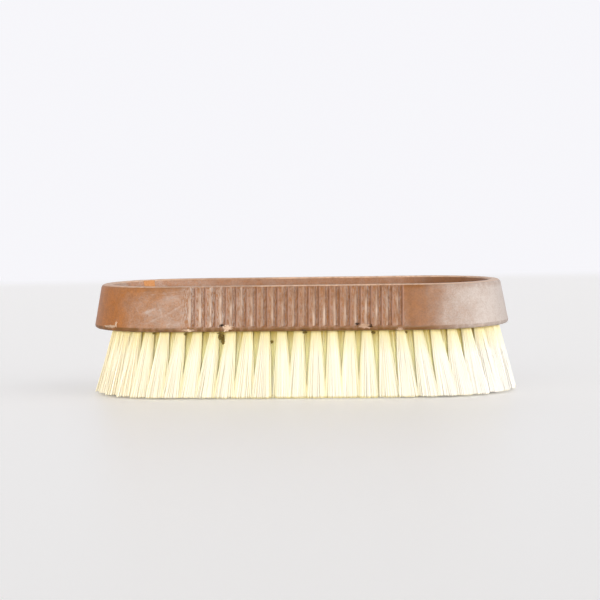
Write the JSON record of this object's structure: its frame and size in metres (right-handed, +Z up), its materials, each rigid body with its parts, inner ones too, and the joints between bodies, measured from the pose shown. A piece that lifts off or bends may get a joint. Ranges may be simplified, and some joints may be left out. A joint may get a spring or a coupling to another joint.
{
  "type": "nail brush",
  "caption": "Oval nail brush: a moulded plastic back with a shallow dish on top and fluted grips, and nylon tufts held in rings of drilled holes, splayed outward at both ends.",
  "frame": {"origin": "centre of the bristle field on the plane of the bristle tips, which is the surface that the brush stands on", "axes": "+X along the brush to the right in the picture, +Y away from the camera across the brush, +Z up to the dished top"},
  "size_m": [0.1068, 0.0456, 0.0275],
  "materials": {
    "back_plastic": "aged satin moulding, scuffed",
    "nylon": "translucent cream filament",
    "anchor_metal": "flat anchor wire"
  },
  "bodies": {
    "root": {"back": "back_plastic", "tufts_outer_ring": "nylon", "tufts_second_ring": "nylon", "tufts_third_ring": "nylon", "tufts_fourth_ring": "nylon", "tufts_centre_row": "nylon", "anchors_outer_ring": "anchor_metal", "anchors_second_ring": "anchor_metal", "anchors_third_ring": "anchor_metal", "anchors_fourth_ring": "anchor_metal", "anchors_centre_row": "anchor_metal"}
  },
  "joints": []
}
